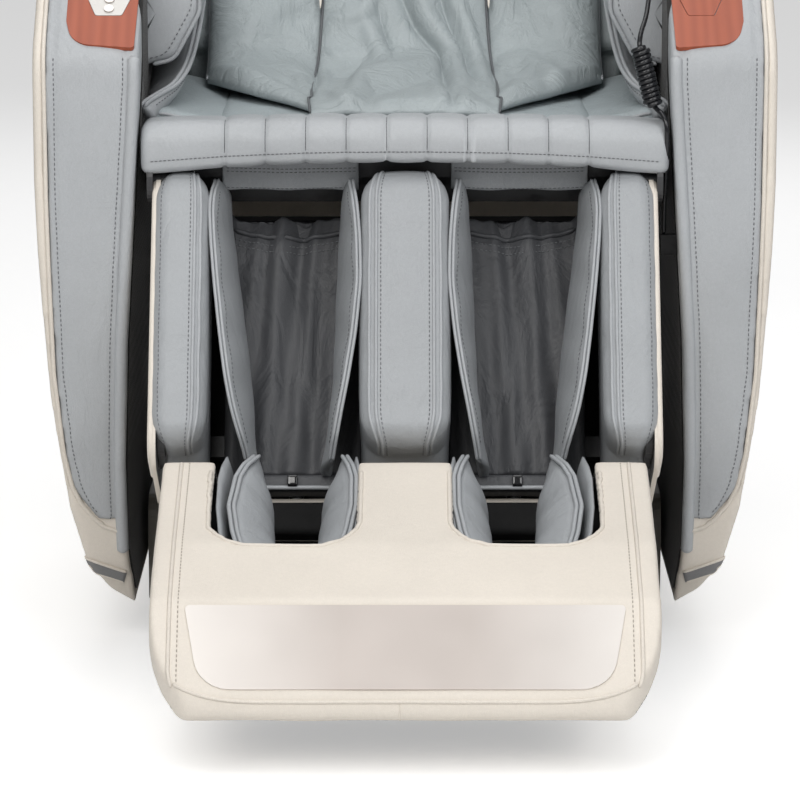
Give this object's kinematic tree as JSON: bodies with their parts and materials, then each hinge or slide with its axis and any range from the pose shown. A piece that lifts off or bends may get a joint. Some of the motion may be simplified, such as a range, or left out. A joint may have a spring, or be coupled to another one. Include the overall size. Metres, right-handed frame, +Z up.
{
  "type": "massage chair",
  "caption": "Full-body massage chair with padded side arms, calf and foot massage unit, reclining back with roller carriage and a corded handset.",
  "frame": {"origin": "middle of the chair's footprint on the floor, with the leg rest and backrest at rest", "axes": "+Z up, -Y the way the sitter faces, +X to the sitter's left"},
  "size_m": [0.748, 1.362, 1.2546],
  "materials": {
    "frame_steel": "satin black powder coat",
    "bright_steel": "bright ground steel",
    "black_rubber": "matte",
    "roller_plastic": "smooth nylon",
    "grey_plastic": "fine textured",
    "black_plastic": "glossy",
    "switch_red": "glossy",
    "silver_plastic": "satin silver paint",
    "cream_shell": "cream grained synthetic leather over moulded shell",
    "grey_leather": "soft grained synthetic leather",
    "dark_lining": "dark woven lining",
    "cherry_wood": "glossy lacquered cherry grain",
    "birch_board": "raw plywood"
  },
  "bodies": {
    "base": {"base_frame": "frame_steel", "base_crossbars": "frame_steel", "base_feet": "black_rubber", "base_skirts": "grey_plastic", "rear_cover": "grey_plastic", "power_inlet": "black_plastic", "control_box": "frame_steel", "air_pumps": "grey_plastic", "tilt_gearmotors": "grey_plastic"},
    "wheels": {"transport_wheels": "black_rubber"},
    "switch_rocker": {"power_switch": "switch_red"},
    "seat": {"seat_side_plates": "frame_steel", "seat_crossbars": "frame_steel", "seat_pan": "birch_board", "seat_cushion": "grey_leather", "seat_roll": "grey_leather", "arm_shells": "cream_shell", "arm_cushions": "grey_leather", "arm_inner_panels": "dark_lining", "arm_trims": "cherry_wood", "console_plates": "black_plastic", "side_airbags": "grey_leather", "recline_actuator": "frame_steel", "handset_holder": "black_plastic", "cord_gland": "black_rubber", "cord_line": "black_rubber", "cord_curl": "black_rubber"},
    "power_key": {"key_power": "silver_plastic"},
    "recline_key": {"key_recline": "silver_plastic"},
    "sit_up_key": {"key_sit_up": "silver_plastic"},
    "lid": {"charging_lid": "cherry_wood"},
    "backrest": {"back_posts": "frame_steel", "back_crossbars": "frame_steel", "carriage_track": "bright_steel", "back_shell": "cream_shell", "back_cushion": "grey_leather", "back_center_pad": "grey_leather", "shoulder_pads": "grey_leather", "head_pillow": "grey_leather"},
    "carriage": {"massage_carriage": "frame_steel"},
    "rocker_pair": {"rockers": "frame_steel"},
    "upper_rollers": {"rollers_upper": "roller_plastic"},
    "lower_rollers": {"rollers_lower": "roller_plastic"},
    "push_rod": {"actuator_rod": "bright_steel"},
    "leg_rest": {"leg_side_plates": "frame_steel", "leg_crossbars": "frame_steel", "leg_guides": "bright_steel", "calf_shell": "cream_shell", "calf_pads_outer": "grey_leather", "calf_pad_center": "grey_leather", "calf_linings": "dark_lining", "calf_flaps": "grey_leather"},
    "foot_rest": {"foot_shell": "cream_shell", "foot_trim": "silver_plastic", "foot_sole": "grey_plastic", "foot_rods": "bright_steel", "foot_flaps": "grey_leather"},
    "front_foot_roller": {"foot_roller_front": "roller_plastic"},
    "rear_foot_roller": {"foot_roller_rear": "roller_plastic"},
    "handset_unit": {"handset": "black_plastic"}
  },
  "joints": [
    {"name": "zero_gravity_tilt", "type": "hinge", "parent": "base", "child": "seat", "pos_m": [0, 0.19351, 0.15], "axis": [-1, 0, 0], "range_deg": [0, 15]},
    {"name": "backrest_recline", "type": "hinge", "parent": "seat", "child": "backrest", "pos_m": [0, 0.21851, 0.43], "axis": [-1, 0, 0], "range_deg": [0, 45]},
    {"name": "push_rod_slide", "type": "slide", "parent": "seat", "child": "push_rod", "axis": [0, -1, 0], "range_m": [0, 0.0537]},
    {"name": "leg_rest_lift", "type": "hinge", "parent": "seat", "child": "leg_rest", "pos_m": [0, -0.20649, 0.497], "axis": [-1, 0, 0], "range_deg": [0, 50]},
    {"name": "foot_rest_extend", "type": "slide", "parent": "leg_rest", "child": "foot_rest", "axis": [0, -0.5, -0.866], "range_m": [0, 0.15]},
    {"name": "carriage_travel", "type": "slide", "parent": "backrest", "child": "carriage", "axis": [0, 0.4226, 0.9063], "range_m": [-0.08, 0.42]},
    {"name": "rocker_swing", "type": "hinge", "parent": "carriage", "child": "rocker_pair", "pos_m": [0, 0.32174, 0.66322], "axis": [-1, 0, 0], "range_deg": [-10, 10]},
    {"name": "upper_rollers_spin", "type": "hinge", "parent": "rocker_pair", "child": "upper_rollers", "pos_m": [0, 0.32529, 0.72998], "axis": [-1, 0, 0], "continuous": true},
    {"name": "lower_rollers_spin", "type": "hinge", "parent": "rocker_pair", "child": "lower_rollers", "pos_m": [0, 0.27288, 0.6176], "axis": [-1, 0, 0], "continuous": true},
    {"name": "front_foot_roller_spin", "type": "hinge", "parent": "foot_rest", "child": "front_foot_roller", "pos_m": [0, -0.52649, 0.086], "axis": [-1, 0, 0], "continuous": true},
    {"name": "rear_foot_roller_spin", "type": "hinge", "parent": "foot_rest", "child": "rear_foot_roller", "pos_m": [0, -0.44149, 0.086], "axis": [-1, 0, 0], "continuous": true},
    {"name": "wheels_spin", "type": "hinge", "parent": "base", "child": "wheels", "pos_m": [0, 0.38151, 0.036], "axis": [-1, 0, 0], "continuous": true},
    {"name": "power_switch_rock", "type": "hinge", "parent": "base", "child": "switch_rocker", "pos_m": [-0.096, 0.40351, 0.108], "axis": [1, 0, 0], "range_deg": [0, 16]},
    {"name": "key_power_press", "type": "slide", "parent": "seat", "child": "power_key", "axis": [0, 0.6402, -0.7682], "range_m": [0, 0.0012], "stiffness_N_per_m": 500},
    {"name": "key_recline_press", "type": "slide", "parent": "seat", "child": "recline_key", "axis": [0, 0.6402, -0.7682], "range_m": [0, 0.0012], "stiffness_N_per_m": 500},
    {"name": "key_sit_up_press", "type": "slide", "parent": "seat", "child": "sit_up_key", "axis": [0, 0.6402, -0.7682], "range_m": [0, 0.0012], "stiffness_N_per_m": 500},
    {"name": "charging_lid_open", "type": "hinge", "parent": "seat", "child": "lid", "pos_m": [0.298, -0.16327, 0.6868], "axis": [-1, 0, 0], "range_deg": [0, 100]},
    {"name": "handset_lift", "type": "slide", "parent": "seat", "child": "handset_unit", "axis": [0, 0, 1], "range_m": [0, 0.06]}
  ],
  "couplings": [
    {"joint": "push_rod_slide", "follows": "backrest_recline", "m_per_rad": 0.06822},
    {"joint": "foot_rest_extend", "follows": "leg_rest_lift", "m_per_rad": 0.1718},
    {"joint": "rear_foot_roller_spin", "follows": "front_foot_roller_spin", "ratio": 1}
  ]
}
